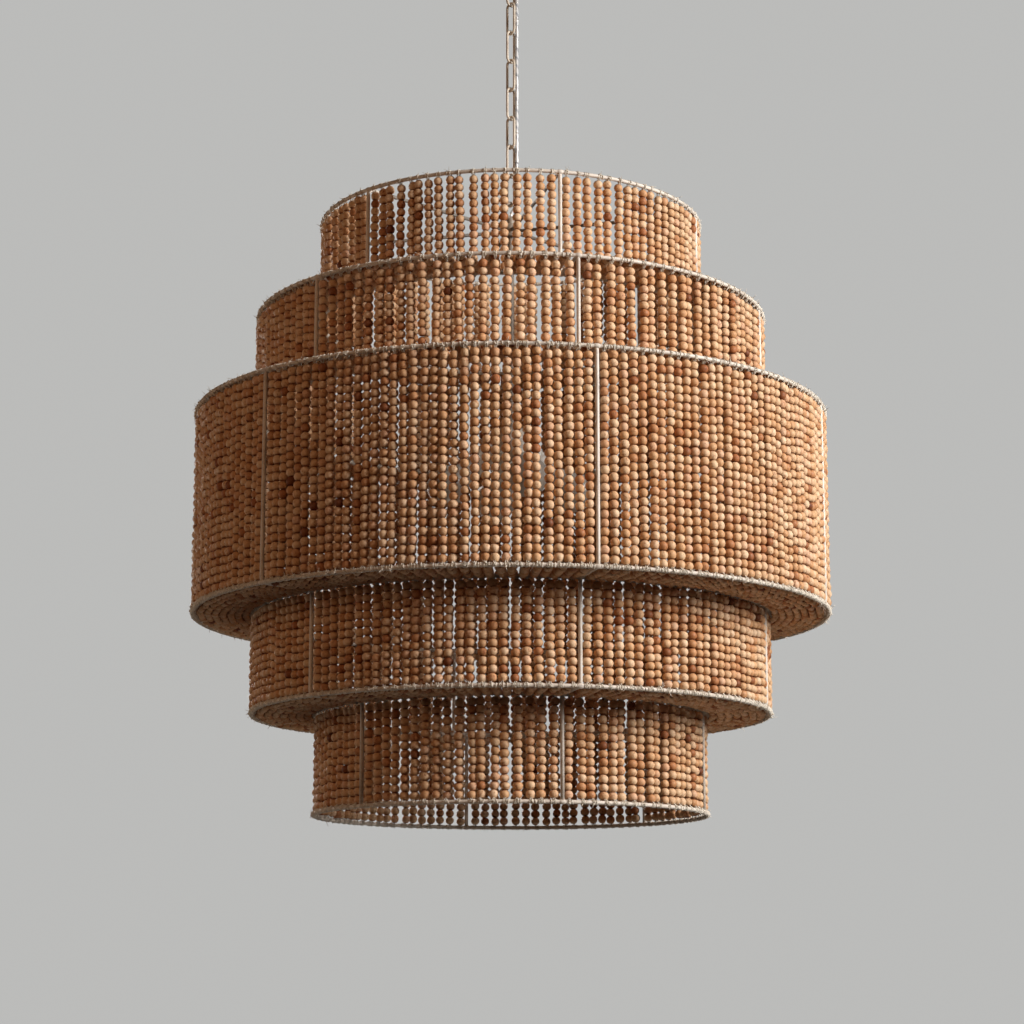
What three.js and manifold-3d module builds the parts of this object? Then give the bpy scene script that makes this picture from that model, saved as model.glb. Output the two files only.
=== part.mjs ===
// A five-tier beaded drum chandelier on a short chain, with its ceiling fitting.
// Millimetres, +Z up. The origin is the centre of the ceiling bar's top face, where it meets the ceiling.
import * as THREE from 'three';
import { mergeVertices } from 'three/addons/utils/BufferGeometryUtils.js';
import Module from 'manifold-3d';

const wasm = await Module();
wasm.setup();

// Running and weld gaps, and how far apart two corners of a mesh may lie and still be one
const seatGap = 0.3;
const cutOverrun = 2;
const cornerMerge = 1e-3;

// Ceiling bar and what hangs from it inside the canopy
const barLength = 100;
const barWidth = 20;
const barThickness = 2.5;
const barSlotLength = 12;
const barSlotWidth = 5.4;
const barSlotInset = 14;
const studRadius = 3.5;
const blockLength = 18;
const blockWidth = 16;
const blockHeight = 9;

// Canopy and the collar that holds it up
const canopyRadius = 64;
const canopyDepth = 26;
const canopyWall = 1.2;
const canopyRimLip = 4;
const canopyFlatRadius = 34;
const collarHeight = 6.5;
const collarWall = 4.5;

// Loops at the two ends of the chain
const loopWireRadius = 2.5;
const loopInnerRadius = 10;
const bossRadius = 15.5;
const bossAbovePlate = 5;
const bossBelowCollar = 3;
const loopSink = 1;
const neckRadius = 6;
const neckHeight = 6.2;
const neckShankRadius = 4.6;
const neckShankLength = 7;

// Chain of oval wire links, each turned a quarter to the next
const linkCount = 8;
const linkWireRadius = 1.9;
const linkInnerWidth = 10.9;
const linkInnerLength = 45.75;
const firstPlaneAngle = THREE.MathUtils.degToRad(-45);
const quarterTurn = Math.PI / 2;

// Lamp cord along the chain, in one stretch for each link
const cordRadius = 2.6;
const cordLegGap = 0.33;
const cordWrapAngle = THREE.MathUtils.degToRad(34);
const cordJointGap = 1.5;
const cordBendRise = 6;
const cordBoreGap = 0.7;
const bushingFlange = 2.3;
const bushingFlangeHeight = 1.2;

// Frame rings and ribs
const drumRadius = 457;
const tierRadiusShares = [0.6127, 0.8118, 1, 0.8118, 0.6127];
const bodyHeight = 867.1;
const tierHeightShares = [0.16953, 0.16953, 0.33272, 0.16411, 0.16411];
const ringWireRadius = 2.75;
const ribWidth = 5.5;
const ribChamfer = 1.6;
const ribRingOffset = 3.1;
const ribCount = 6;
const ribAzimuth = THREE.MathUtils.degToRad(14.1);
const bayAngle = (2 * Math.PI) / ribCount;
const tierRadii = tierRadiusShares.map((share) => drumRadius * share);
const tierHeights = tierHeightShares.map((share) => bodyHeight * share);

// Bead curtains, each a ring of fluted strands, and the flat strands of the steps between them.
// A crest of the two upper steps stands for two strands.
const strandsPerBay = [18, 23, 34, 25, 18];
const stepCrestsPerBay = [11, 13, 26, 21];
const beadRadius = 6.6;
const fluteDepth = 6.2;
const stepHang = 9.6;
const lacingBand = 5;
const ribSlotGap = 0.4;
const ribWindowGap = 2.6;

// Hub, stem and light cluster
const hubRadius = 12;
const hubHeight = 20;
const hubEdge = 2;
const stemRadius = 5;
const stemLength = 300;
const stemEngagement = 7;
const clusterRadius = 21;
const clusterHeight = 30;
const clusterWall = 3;
const armCount = 4;
const armRadius = 5.5;
const armBoreRadius = 3;
const armLength = 32;
const armTilt = THREE.MathUtils.degToRad(52);
const finialRadius = 8;
const finialHeight = 14;

// Lamp holders and bulbs
const socketRadius = 17;
const socketLength = 38;
const socketWall = 2.6;
const bulbBaseRadius = 13.1;
const bulbBaseLength = 26;
const bulbRadius = 30;
const bulbLength = 106;
const bulbShoulderAngle = THREE.MathUtils.degToRad(30);

// Numbers of facets
const ringSteps = 30;
const wireSides = 6;
const linkSteps = 12;
const loopSteps = 16;
const cordSides = 8;
const cordStepsPerLink = 5;
const roundSides = 16;
const canopySides = 24;
const canopyCurveSteps = 4;
const lampSides = 12;
const armSides = 8;
const globeSteps = 4;
const fixtureCordSteps = 34;
const innerStepsPerBay = 5;

const cream = { color: 0xd9cfbf, roughness: 0.55, metalness: 0.1 };
const steel = { color: 0xa9adb0, roughness: 0.35, metalness: 0.9 };
const wood = { color: 0xc08a5c, roughness: 0.6, metalness: 0 };
const jacket = { color: 0xe8e6df, roughness: 0.3, metalness: 0 };
const porcelain = { color: 0xf0ece2, roughness: 0.4, metalness: 0 };
const frosted = { color: 0xf4f2ea, roughness: 0.2, metalness: 0 };

// Closed solids for joins and cuts, and back to a geometry
function solidOf(geometry) {
  const bare = geometry.clone();
  bare.deleteAttribute('normal');
  bare.deleteAttribute('uv');
  const merged = mergeVertices(bare, cornerMerge);
  return new wasm.Manifold(new wasm.Mesh({
    numProp: 3,
    vertProperties: new Float32Array(merged.attributes.position.array),
    triVerts: new Uint32Array(merged.index.array),
  }));
}

function geometryOf(solid) {
  const cut = solid.getMesh();
  const geometry = new THREE.BufferGeometry();
  geometry.setAttribute('position', new THREE.BufferAttribute(cut.vertProperties, 3));
  geometry.setIndex(new THREE.BufferAttribute(cut.triVerts, 1));
  geometry.computeVertexNormals();
  return geometry;
}

function joined(parts) {
  return geometryOf(parts.map(solidOf).reduce((whole, part) => whole.add(part)));
}

function cutBy(geometry, cutters) {
  const whole = solidOf(geometry);
  return geometryOf(cutters.map(solidOf).reduce((rest, cutter) => rest.subtract(cutter), whole));
}

function piece(name, geometry, finish) {
  const mesh = new THREE.Mesh(geometry, new THREE.MeshStandardMaterial(finish));
  mesh.name = name;
  return mesh;
}

// A solid of revolution about Z from [radius, height] points, listed anticlockwise
function turned(profile, sides = roundSides) {
  const points = profile.map(([radius, height]) => new THREE.Vector2(radius, height));
  return new THREE.LatheGeometry(points, sides).rotateX(quarterTurn);
}

function rod(radius, low, high, sides = roundSides) {
  return turned([[0, low], [radius, low], [radius, high], [0, high]], sides);
}

function block(width, depth, low, high) {
  return new THREE.BoxGeometry(width, depth, high - low).translate(0, 0, (low + high) / 2);
}

// A ring of wire in the horizontal plane, with a corner at each rib
function hoop(radius, wireRadius) {
  const hoopShape = new THREE.TorusGeometry(radius, wireRadius, wireSides, ringSteps);
  return hoopShape.rotateZ(ribAzimuth - quarterTurn);
}

// An upright eye of wire in the XZ plane, centred on the origin
function eye(radius, wireRadius, steps) {
  return new THREE.TorusGeometry(radius, wireRadius, wireSides, steps).rotateX(quarterTurn);
}

// Heights, worked down from the ceiling
const canopyHoleRadius = bossRadius + seatGap;
const collarTop = -canopyDepth - seatGap;
const bossBottom = collarTop - collarHeight - bossBelowCollar;
const bossTop = -canopyDepth + bossAbovePlate;
const loopRadius = loopInnerRadius + loopWireRadius;
const canopyLoopCentre = bossBottom - loopSink - loopRadius;
const linkArcRadius = linkInnerWidth / 2 + linkWireRadius;
const linkWireLength = linkInnerLength + 2 * linkWireRadius;

// pivots[k] is the height of the wire that link k + 1, or last the fixture's loop, hangs on
const pivots = [canopyLoopCentre - loopRadius];
for (let link = 1; link <= linkCount; link += 1) {
  const carrierRadius = link === 1 ? loopWireRadius : linkWireRadius;
  const linkTop = pivots[link - 1] + carrierRadius + seatGap + linkWireRadius;
  pivots.push(linkTop - linkWireLength);
}
const fixtureLoopCentre = pivots[linkCount] + linkWireRadius + seatGap + loopWireRadius - loopRadius;
const neckBottom = fixtureLoopCentre - loopRadius - loopWireRadius - neckHeight;
const neckTop = fixtureLoopCentre - loopInnerRadius + loopSink;
const hubTop = neckBottom - seatGap;
const hubMiddle = hubTop - hubHeight / 2;
const hubBottom = hubTop - hubHeight;

const tierTops = [hubMiddle];
for (const height of tierHeights) {
  tierTops.push(tierTops[tierTops.length - 1] - height);
}

function planeAngle(link) {
  return firstPlaneAngle + link * quarterTurn;
}

// Ceiling bar: a flat strap with a slot at each end for the ceiling box screws
function ceilingBar() {
  const slotCentre = barLength / 2 - barSlotInset;
  const slots = [-slotCentre, slotCentre].map((centre) => {
    const slot = block(barSlotLength, barSlotWidth, -barThickness - cutOverrun, cutOverrun);
    return slot.translate(centre, 0, 0);
  });
  return piece('ceiling_bar', cutBy(block(barLength, barWidth, -barThickness, 0), slots), steel);
}

function canopy() {
  const bottom = -canopyDepth;
  const shoulder = (canopyRadius - canopyFlatRadius) / 2;
  const outside = new THREE.CubicBezierCurve(
    new THREE.Vector2(canopyFlatRadius, bottom),
    new THREE.Vector2(canopyFlatRadius + shoulder, bottom),
    new THREE.Vector2(canopyRadius, bottom / 2),
    new THREE.Vector2(canopyRadius, -canopyWall),
  ).getPoints(canopyCurveSteps).map((point) => [point.x, point.y]);
  const inside = outside.map(([radius, height]) => [radius - canopyWall, height + canopyWall]).reverse();
  inside[0] = [canopyRadius - canopyWall, -canopyWall];
  return piece('ceiling_canopy', turned([
    [canopyHoleRadius, bottom],
    ...outside,
    [canopyRadius, 0],
    [canopyRadius - canopyRimLip, 0],
    [canopyRadius - canopyRimLip, -canopyWall],
    ...inside,
    [canopyHoleRadius, bottom + canopyWall],
    [canopyHoleRadius, bottom],
  ], canopySides), cream);
}

function canopyCollar() {
  const inner = canopyHoleRadius;
  const outer = inner + collarWall;
  const bottom = collarTop - collarHeight;
  return piece('canopy_collar', turned([
    [inner, bottom],
    [outer - hubEdge, bottom],
    [outer, bottom + hubEdge],
    [outer, collarTop],
    [inner, collarTop],
    [inner, bottom],
  ], canopySides), cream);
}

// The cord's own place beside the chain
const legOffset = linkArcRadius * Math.cos(firstPlaneAngle);
const cordReach = linkWireRadius + cordRadius + cordLegGap;
const cordX = legOffset + cordReach * Math.cos(cordWrapAngle);
const cordSway = legOffset - cordReach * Math.sin(cordWrapAngle);
const bushingBore = cordRadius + seatGap;

// The upper loop with its boss, the stud that screws into the bar, and the bushed hole for the cord
function canopyLoop() {
  const boss = rod(bossRadius, bossBottom, bossTop);
  const loop = eye(loopRadius, loopWireRadius, loopSteps).rotateZ(planeAngle(0));
  const stud = rod(studRadius, bossBottom, -barThickness - seatGap, lampSides);
  const flangeTop = bossTop + bushingFlangeHeight;
  const flange = rod(bushingBore + bushingFlange, bossBottom, flangeTop, lampSides).translate(cordX, 0, 0);
  const cordHole = rod(bushingBore, bossBottom - cutOverrun, flangeTop + cutOverrun, lampSides);
  const body = joined([boss, loop.translate(0, 0, canopyLoopCentre), stud, flange]);
  return piece('canopy_loop', cutBy(body, [cordHole.translate(cordX, 0, 0)]), cream);
}

// The terminal block sits under the bar, beside the stud, over the cord's end
const blockCentre = cordX - cordRadius + blockLength / 2;
const blockBottom = -barThickness - seatGap - blockHeight;

function terminalBlock() {
  const body = block(blockLength, blockWidth, blockBottom, -barThickness - seatGap);
  return piece('terminal_block', body.translate(blockCentre, 0, 0), porcelain);
}

// One oval link: a round eye whose upper half is lifted and lower half lowered
function chainLink(number) {
  const endRise = linkArcRadius * Math.cos(Math.PI / linkSteps);
  const straight = linkWireLength / 2 - endRise;
  const oval = new THREE.TorusGeometry(linkArcRadius, linkWireRadius, wireSides, linkSteps);
  oval.rotateZ(Math.PI / linkSteps);
  const corners = oval.attributes.position;
  for (let index = 0; index < corners.count; index += 1) {
    corners.setY(index, corners.getY(index) + Math.sign(corners.getY(index)) * straight);
  }
  oval.rotateX(quarterTurn).rotateZ(planeAngle(number));
  return piece(`chain_link_${number}`, oval.translate(0, 0, pivots[number] + linkWireLength / 2), cream);
}

// A round cord along a smooth curve through the given points
function cordAlong(name, points, steps) {
  const corners = [];
  for (let side = 0; side < cordSides; side += 1) {
    const turn = (side / cordSides) * 2 * Math.PI;
    corners.push(new THREE.Vector2(cordRadius * Math.cos(turn), cordRadius * Math.sin(turn)));
  }
  const extrudePath = new THREE.CatmullRomCurve3(points);
  const section = new THREE.Shape(corners);
  const tube = new THREE.ExtrudeGeometry(section, { steps, bevelEnabled: false, extrudePath });
  return piece(name, tube, jacket);
}

// The cord's middle at a height: beside a link it leans on the link's leg, in front and behind by turns,
// and below the chain it bends in to the axis
function cordPlace(height) {
  const link = pivots.findIndex((pivot) => height > pivot);
  const beside = link > 0;
  const along = beside ? (pivots[link - 1] - height) / (pivots[link - 1] - pivots[link]) : 0;
  const side = link % 2 === 0 ? -1 : 1;
  const bendTop = pivots[linkCount] + cordBendRise;
  const bend = THREE.MathUtils.smoothstep(bendTop - height, 0, bendTop - neckTop);
  return new THREE.Vector3(cordX * (1 - bend), side * cordSway * Math.sin(Math.PI * along), height);
}

function cordStretch(name, top, bottom, steps) {
  const points = [];
  for (let step = 0; step <= steps; step += 1) {
    points.push(cordPlace(top + ((bottom - top) * step) / steps));
  }
  return cordAlong(name, points, steps);
}

function linkCord(number) {
  const top = pivots[number - 1] - cordJointGap;
  return cordStretch(`link_cord_${number}`, top, pivots[number] + cordJointGap, cordStepsPerLink);
}

function canopyCord() {
  return cordStretch('canopy_cord', blockBottom - seatGap, pivots[0] + cordJointGap, cordStepsPerLink);
}

// The last stretch bends in to the axis and runs down the neck, the hub and the stem
function fixtureCord() {
  return cordStretch('fixture_cord', pivots[linkCount] - cordJointGap, clusterTop, fixtureCordSteps);
}

function fixtureLoop() {
  const loop = eye(loopRadius, loopWireRadius, loopSteps).rotateZ(planeAngle(linkCount + 1));
  const neck = rod(neckRadius, neckBottom, neckTop, lampSides);
  const shank = rod(neckShankRadius, neckBottom - neckShankLength, neckBottom + seatGap, lampSides);
  const boreLow = neckBottom - neckShankLength - cutOverrun;
  const bore = rod(cordRadius + cordBoreGap, boreLow, neckTop + cutOverrun, armSides);
  const body = joined([loop.translate(0, 0, fixtureLoopCentre), neck, shank]);
  return piece('fixture_loop', cutBy(body, [bore]), cream);
}

const stemTop = hubBottom + stemEngagement;
const stemBottom = hubBottom - stemLength;
const clusterTop = stemBottom + stemEngagement;

function topHub() {
  const outside = turned([
    [0, hubBottom],
    [hubRadius - hubEdge, hubBottom],
    [hubRadius, hubBottom + hubEdge],
    [hubRadius, hubTop - hubEdge],
    [hubRadius - hubEdge, hubTop],
    [0, hubTop],
  ]);
  const seatBottom = neckBottom - neckShankLength - seatGap;
  const shankSeat = rod(neckShankRadius + seatGap, seatBottom, hubTop + cutOverrun);
  const stemSeat = rod(stemRadius + seatGap, hubBottom - cutOverrun, stemTop + seatGap);
  const cordBore = rod(cordRadius + cordBoreGap, hubBottom, hubTop);
  return piece('top_hub', cutBy(outside, [shankSeat, stemSeat, cordBore]), cream);
}

// The middle line of a rib, from the hub out and down to the lowest ring, in [radius, height]
function ribLine() {
  const line = [[hubRadius + seatGap, hubMiddle - ribRingOffset]];
  tierRadii.forEach((radius, tier) => {
    const outward = tier === 0 || radius > tierRadii[tier - 1];
    const inwardNext = tier + 1 < tierRadii.length && tierRadii[tier + 1] < radius;
    const top = tierTops[tier] + (outward ? -ribRingOffset : ribRingOffset);
    const lastTier = tier + 1 === tierRadii.length;
    const bottomOffset = inwardNext ? ribRingOffset : -ribRingOffset;
    line.push([radius - ribRingOffset, top]);
    line.push([radius - ribRingOffset, tierTops[tier + 1] + (lastTier ? -ringWireRadius : bottomOffset)]);
  });
  return line.map(([radius, height]) => new THREE.Vector2(radius, height));
}

// A closed outline on both sides of a line of square corners
function bandOutline(line, halfWidth) {
  const left = [];
  const right = [];
  line.forEach((point, index) => {
    const before = index > 0 ? point.clone().sub(line[index - 1]).normalize() : null;
    const after = index + 1 < line.length ? line[index + 1].clone().sub(point).normalize() : null;
    const sides = [before, after].filter(Boolean).map((way) => new THREE.Vector2(-way.y, way.x));
    const both = sides.reduce((sum, side) => sum.add(side), new THREE.Vector2());
    left.push(point.clone().addScaledVector(both, halfWidth));
    right.unshift(point.clone().addScaledVector(both, -halfWidth));
  });
  return new THREE.Shape([...left, ...right]);
}

// Every ring of the frame: its tier, its radius and its height
const rings = [];
tierRadii.forEach((radius, tier) => {
  rings.push({ name: `tier_${tier + 1}_top_ring`, radius, height: tierTops[tier] });
  rings.push({ name: `tier_${tier + 1}_bottom_ring`, radius, height: tierTops[tier + 1] });
});

// A stepped rib of bent rod, saddled where each ring is welded to it
function rib(number) {
  const depth = ribWidth - 2 * ribChamfer;
  const rodBar = new THREE.ExtrudeGeometry(bandOutline(ribLine(), ribWidth / 2), {
    depth,
    bevelEnabled: true,
    bevelThickness: ribChamfer,
    bevelSize: ribChamfer,
    bevelOffset: -ribChamfer,
    bevelSegments: 1,
  });
  rodBar.translate(0, 0, -depth / 2).rotateX(quarterTurn);
  const saddles = rings.map(({ radius, height }) => {
    const saddle = new THREE.TorusGeometry(radius, ringWireRadius + seatGap, wireSides, ringSteps);
    return saddle.translate(0, 0, height);
  });
  const mesh = piece(`rib_${number}`, cutBy(rodBar, saddles), cream);
  mesh.rotation.z = ribAzimuth - quarterTurn + (number - 1) * bayAngle;
  return mesh;
}

function frameRing({ name, radius, height }) {
  const mesh = piece(name, hoop(radius, ringWireRadius), cream);
  mesh.position.z = height;
  return mesh;
}

// A box that spans from one radius to another at a rib
function ribBox(number, innerRadius, outerRadius, width, low, high) {
  const box = block(outerRadius - innerRadius, width, low, high);
  box.translate((innerRadius + outerRadius) / 2, 0, 0);
  return box.rotateZ(ribAzimuth - quarterTurn + number * bayAngle);
}

// The bead strands of one tier: a crest at each strand, a groove between two, and a way for each rib
function beadCurtain(tier) {
  const radius = tierRadii[tier];
  const low = tierTops[tier + 1] + ringWireRadius + seatGap;
  const high = tierTops[tier] - ringWireRadius - seatGap;
  const strands = strandsPerBay[tier] * ribCount;
  const outside = [];
  for (let half = 0; half < 2 * strands; half += 1) {
    const inGroove = half % 2 === 0;
    const reach = radius + beadRadius - (inGroove ? fluteDepth : 0);
    const azimuth = ribAzimuth - quarterTurn + (half * Math.PI) / strands;
    outside.push(new THREE.Vector2(reach * Math.cos(azimuth), reach * Math.sin(azimuth)));
  }
  const inside = [];
  for (let step = 0; step < innerStepsPerBay * ribCount; step += 1) {
    const azimuth = ribAzimuth - quarterTurn + (step * bayAngle) / innerStepsPerBay;
    const reach = radius - beadRadius;
    inside.push(new THREE.Vector2(reach * Math.cos(azimuth), reach * Math.sin(azimuth)));
  }
  const outline = new THREE.Shape(outside);
  outline.holes.push(new THREE.Path(inside.reverse()));
  const wall = new THREE.ExtrudeGeometry(outline, { depth: high - low, bevelEnabled: false });
  wall.translate(0, 0, low);
  const slotOuter = radius - ribRingOffset + ribWidth / 2 + ribSlotGap;
  const slotInner = radius - beadRadius - cutOverrun;
  const slotWidth = ribWidth + 2 * ribSlotGap;
  const windowWidth = ribWidth + 2 * ribWindowGap;
  const windowOuter = radius + beadRadius + cutOverrun;
  const cutters = [];
  for (let number = 0; number < ribCount; number += 1) {
    cutters.push(ribBox(number, slotInner, slotOuter, slotWidth, low - cutOverrun, high + cutOverrun));
    cutters.push(ribBox(number, slotInner, windowOuter, windowWidth, low + lacingBand, high - lacingBand));
  }
  return piece(`tier_${tier + 1}_beads`, cutBy(wall, cutters), wood);
}

// The corners of a loop round the axis, from the first rib on, with a place for each azimuth
function loopOf(count, placeAt) {
  const corners = [];
  for (let index = 0; index < count; index += 1) {
    const [reach, height] = placeAt(index);
    const azimuth = ribAzimuth - quarterTurn + (index / count) * 2 * Math.PI;
    corners.push(new THREE.Vector3(reach * Math.cos(azimuth), reach * Math.sin(azimuth), height));
  }
  return corners;
}

// Triangles between two loops of any numbers of corners, each corner sewn to the nearest of the other loop
function bandBetween(first, second) {
  const triangles = [];
  let onFirst = 0;
  let onSecond = 0;
  while (onFirst < first.length || onSecond < second.length) {
    const here = [first[onFirst % first.length], second[onSecond % second.length]];
    if ((2 * onFirst + 1) * second.length <= (2 * onSecond + 1) * first.length) {
      onFirst += 1;
      triangles.push(here[0], first[onFirst % first.length], here[1]);
    } else {
      onSecond += 1;
      triangles.push(here[0], second[onSecond % second.length], here[1]);
    }
  }
  return triangles;
}

// The flat strands of one step: crests and grooves on its outer face, and a way above for each rib
function beadStep(step) {
  const outward = tierRadii[step + 1] > tierRadii[step];
  const smaller = Math.min(tierRadii[step], tierRadii[step + 1]);
  const larger = Math.max(tierRadii[step], tierRadii[step + 1]);
  const inner = smaller + (outward ? ringWireRadius : beadRadius) + seatGap;
  const outer = larger - (outward ? beadRadius : ringWireRadius) - seatGap;
  const top = tierTops[step + 1] + ringWireRadius;
  const bottom = tierTops[step + 1] - stepHang;
  const flat = outward ? bottom : top;
  const crest = outward ? top : bottom;
  const groove = crest + (outward ? -fluteDepth : fluteDepth);
  const halves = 2 * ribCount * stepCrestsPerBay[step];
  const halfFacet = Math.PI / ringSteps;
  const chordReach = (half) => {
    const turn = ((half / halves) * 2 * Math.PI) % (2 * halfFacet);
    return (outer * Math.cos(halfFacet)) / Math.cos(turn - halfFacet);
  };
  const level = (half) => (half % 2 === 0 ? groove : crest);
  const loops = [
    loopOf(ringSteps, () => [outer, flat]),
    loopOf(halves, (half) => [chordReach(half), level(half)]),
    loopOf(halves, (half) => [inner, level(half)]),
    loopOf(ringSteps, () => [inner / Math.cos(halfFacet), flat]),
  ];
  if (!outward) {
    loops.reverse();
  }
  const corners = loops.flatMap((loop, index) => bandBetween(loop, loops[(index + 1) % loops.length]));
  const shelf = new THREE.BufferGeometry().setFromPoints(corners);
  const slotLow = tierTops[step + 1] + (outward ? -ribRingOffset : ribRingOffset) - ribWidth / 2 - ribSlotGap;
  const slotWidth = ribWidth + 2 * ribSlotGap;
  const slots = [];
  for (let number = 0; number < ribCount; number += 1) {
    slots.push(ribBox(number, inner - cutOverrun, outer + cutOverrun, slotWidth, slotLow, top + cutOverrun));
  }
  return piece(`step_${step + 1}_beads`, cutBy(shelf, slots), wood);
}

function stem() {
  const bore = cordRadius + cordBoreGap;
  return piece('stem', turned([
    [bore, stemBottom],
    [stemRadius, stemBottom],
    [stemRadius, stemTop],
    [bore, stemTop],
    [bore, stemBottom],
  ], lampSides), cream);
}

// Turns a coaxial piece, made along -Z from the cluster's middle, out to one of the arms
function onArm(geometry, arm) {
  return geometry.rotateY(-armTilt).rotateZ(ribAzimuth + (arm * 2 * Math.PI) / armCount);
}

const clusterMiddle = clusterTop - clusterHeight / 2;
const clusterBottom = clusterTop - clusterHeight;

// Cluster body: a hollow drum that takes the stem above, with four hollow nipples and the finial that closes it
function socketCluster() {
  const drum = rod(clusterRadius, clusterBottom, clusterTop);
  const chamber = rod(clusterRadius - clusterWall, clusterBottom + clusterWall, clusterTop - clusterWall);
  const stemSeat = rod(stemRadius + seatGap, clusterMiddle, clusterTop + cutOverrun);
  const boreEnd = -clusterRadius + clusterWall;
  const solids = [drum, finial()];
  const cutters = [chamber, stemSeat];
  for (let arm = 0; arm < armCount; arm += 1) {
    const nipple = onArm(rod(armRadius, -armLength, 0, armSides), arm);
    const bore = onArm(rod(armBoreRadius, -armLength - cutOverrun, boreEnd, armSides), arm);
    solids.push(nipple.translate(0, 0, clusterMiddle));
    cutters.push(bore.translate(0, 0, clusterMiddle));
  }
  return piece('socket_cluster', cutBy(joined(solids), cutters), cream);
}

function finial() {
  return turned([
    [0, clusterBottom - finialHeight],
    [finialRadius / 2, clusterBottom - finialHeight],
    [finialRadius, clusterBottom - finialHeight / 2],
    [finialRadius, clusterBottom + clusterWall / 2],
    [0, clusterBottom + clusterWall / 2],
  ], lampSides);
}

// A lamp holder: a cup with a hole in its base for the nipple's wires, open towards the bulb
const socketBack = -armLength - seatGap;
const socketMouth = socketBack - socketLength;
const socketBore = bulbBaseRadius + seatGap;

function lampSocket(arm) {
  const holder = turned([
    [armBoreRadius, socketBack - socketWall],
    [socketBore, socketBack - socketWall],
    [socketBore, socketMouth],
    [socketBore + socketWall, socketMouth],
    [socketRadius, socketMouth + socketLength / 2],
    [socketRadius, socketBack - socketWall],
    [socketRadius - socketWall, socketBack],
    [armBoreRadius, socketBack],
    [armBoreRadius, socketBack - socketWall],
  ], roundSides);
  return piece(`lamp_socket_${arm + 1}`, onArm(holder, arm).translate(0, 0, clusterMiddle), porcelain);
}

function bulb(arm) {
  const baseEnd = socketMouth + bulbBaseLength;
  const neckEnd = socketMouth - bulbBaseRadius;
  const tip = baseEnd - bulbLength;
  const globeCentre = tip + bulbRadius;
  const globe = [];
  for (let step = 0; step <= globeSteps; step += 1) {
    const turn = (step / globeSteps) * (quarterTurn + bulbShoulderAngle);
    globe.push([bulbRadius * Math.sin(turn), globeCentre - bulbRadius * Math.cos(turn)]);
  }
  const envelope = turned([
    ...globe,
    [bulbBaseRadius, neckEnd],
    [bulbBaseRadius, baseEnd - bulbBaseRadius / 3],
    [bulbBaseRadius / 2, baseEnd],
    [0, baseEnd],
  ], lampSides);
  return piece(`bulb_${arm + 1}`, onArm(envelope, arm).translate(0, 0, clusterMiddle), frosted);
}

const chandelier = new THREE.Group();
chandelier.add(ceilingBar(), canopy(), canopyCollar(), canopyLoop(), terminalBlock(), canopyCord());
for (let number = 1; number <= linkCount; number += 1) {
  chandelier.add(chainLink(number), linkCord(number));
}

const fixture = new THREE.Group();
fixture.add(fixtureLoop(), topHub(), fixtureCord(), stem(), socketCluster());
for (let number = 1; number <= ribCount; number += 1) {
  fixture.add(rib(number));
}
fixture.add(...rings.map(frameRing));
fixture.add(...tierRadii.map((radius, tier) => beadCurtain(tier)));
fixture.add(...stepCrestsPerBay.map((crests, step) => beadStep(step)));
for (let arm = 0; arm < armCount; arm += 1) {
  fixture.add(lampSocket(arm), bulb(arm));
}
chandelier.add(fixture);

export default chandelier;
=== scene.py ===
# The beaded chandelier, dressed for the render
import bmesh
import bpy
import math
import random
from mathutils import Matrix, Vector


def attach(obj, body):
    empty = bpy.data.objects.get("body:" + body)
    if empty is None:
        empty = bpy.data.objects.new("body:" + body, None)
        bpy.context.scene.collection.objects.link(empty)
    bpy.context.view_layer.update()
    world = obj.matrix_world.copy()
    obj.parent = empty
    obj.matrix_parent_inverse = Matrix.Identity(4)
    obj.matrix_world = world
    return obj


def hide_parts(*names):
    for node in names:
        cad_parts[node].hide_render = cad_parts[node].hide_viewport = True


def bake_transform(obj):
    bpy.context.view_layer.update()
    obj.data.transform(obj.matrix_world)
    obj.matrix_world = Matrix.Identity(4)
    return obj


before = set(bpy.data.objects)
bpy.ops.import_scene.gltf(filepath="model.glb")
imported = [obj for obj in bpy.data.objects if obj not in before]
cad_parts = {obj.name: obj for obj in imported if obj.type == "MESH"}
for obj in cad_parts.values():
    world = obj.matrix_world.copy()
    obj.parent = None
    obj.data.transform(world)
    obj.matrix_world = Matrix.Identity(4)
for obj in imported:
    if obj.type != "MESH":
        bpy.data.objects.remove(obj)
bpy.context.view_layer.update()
mm = 0.001
upAxis = Vector((0, 0, 1))

# Camera first: a long lens a little below the fixture, tilted up
camera = {"lens": 84.99, "sensor": 36, "place": (0.0019, -3.464, -1.562), "tiltUp": 10.97}


def addCamera():
    data = bpy.data.cameras.new("photoCamera")
    data.lens = camera["lens"]
    data.sensor_width = camera["sensor"]
    data.clip_end = 50
    seen = bpy.data.objects.new("photoCamera", data)
    seen.location = camera["place"]
    seen.rotation_euler = (math.radians(90 + camera["tiltUp"]), 0, 0)
    bpy.context.scene.collection.objects.link(seen)
    bpy.context.scene.camera = seen


addCamera()
print("camera set")


# Small helpers for making and finishing pieces
def addPiece(name, shape, material, body=None, nodes=(), crisp=None):
    mesh = bpy.data.meshes.new(name)
    shape.to_mesh(mesh)
    shape.free()
    mesh.materials.append(material)
    mesh.polygons.foreach_set("use_smooth", [True] * len(mesh.polygons))
    if crisp:  # degrees: the edges sharper than this stay crisp
        mesh.set_sharp_from_angle(angle=math.radians(crisp))
    item = bpy.data.objects.new(name, mesh)
    bpy.context.scene.collection.objects.link(item)
    if nodes:
        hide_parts(*nodes)
    if body:
        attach(item, body)
    return item


def stamp(target, shape, place):
    scratch = bpy.data.meshes.get("stampScratch") or bpy.data.meshes.new("stampScratch")
    shape.to_mesh(scratch)
    scratch.transform(place)
    target.from_mesh(scratch)


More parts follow.
